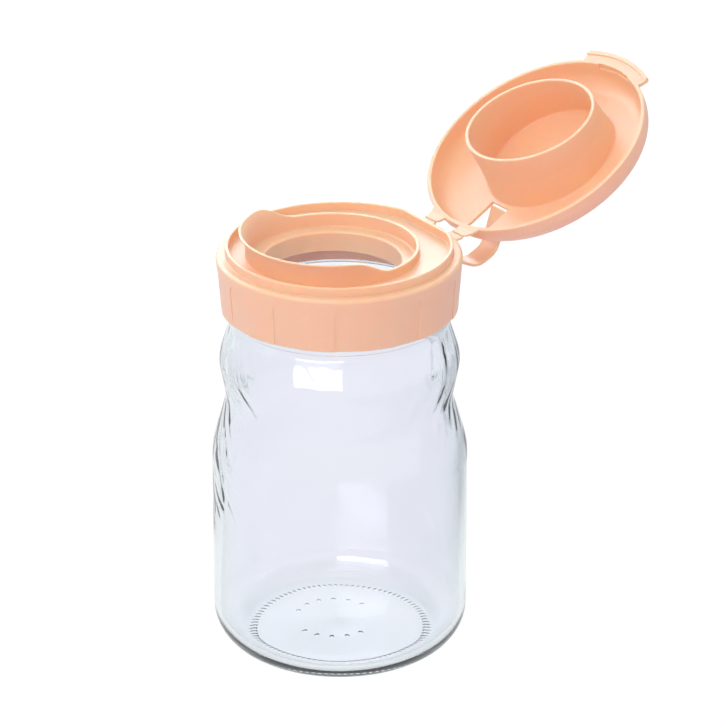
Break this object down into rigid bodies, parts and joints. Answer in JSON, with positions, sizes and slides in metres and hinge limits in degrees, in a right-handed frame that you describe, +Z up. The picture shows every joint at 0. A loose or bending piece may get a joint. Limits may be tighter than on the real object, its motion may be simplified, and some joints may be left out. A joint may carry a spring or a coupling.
{
  "type": "storage jar with a hinged pouring lid",
  "caption": "Round clear glass food jar with a waist, and a peach plastic screw closure with a pouring lip and a hinged plug lid.",
  "frame": {"origin": "centre of the jar's base, on the surface that it stands on", "axes": "+Z up along the jar's axis, +Y towards the lid's hinge, -Y towards the pouring lip and the thumb tab, +X to the right of someone who looks along +Y"},
  "size_m": [0.092, 0.1725, 0.1975],
  "materials": {
    "clear_glass": "clear pressed glass with a faint green tint",
    "peach_plastic": "satin injection-moulded polypropylene, slightly translucent",
    "seal": "matt white foamed liner"
  },
  "bodies": {
    "jar": {"glass_jar": "clear_glass"},
    "seal": {"seal_ring": "seal"},
    "closure": {"collar": "peach_plastic", "left_hinge_fold": "peach_plastic", "right_hinge_fold": "peach_plastic"},
    "lid": {"lid": "peach_plastic"},
    "band": {"spring_band": "peach_plastic"}
  },
  "joints": [
    {"name": "closure_lift", "type": "slide", "parent": "jar", "child": "seal", "axis": [0, 0, 1], "range_m": [0, 0.0181]},
    {"name": "closure_turn", "type": "hinge", "parent": "seal", "child": "closure", "pos_m": [0, 0, 0.14], "axis": [0, 0, 1], "range_deg": [0, 480]},
    {"name": "lid_hinge", "type": "hinge", "parent": "closure", "child": "lid", "pos_m": [0, 0.0458, 0.14995], "axis": [-1, 0, 0], "range_deg": [-149, 0]},
    {"name": "band_swing", "type": "hinge", "parent": "closure", "child": "band", "pos_m": [0, 0.0436, 0.1395], "axis": [-1, 0, 0], "range_deg": [-110, 0]}
  ],
  "couplings": [
    {"joint": "closure_lift", "follows": "closure_turn", "m_per_rad": 0.0021486},
    {"joint": "band_swing", "follows": "lid_hinge", "ratio": 0.7349}
  ]
}
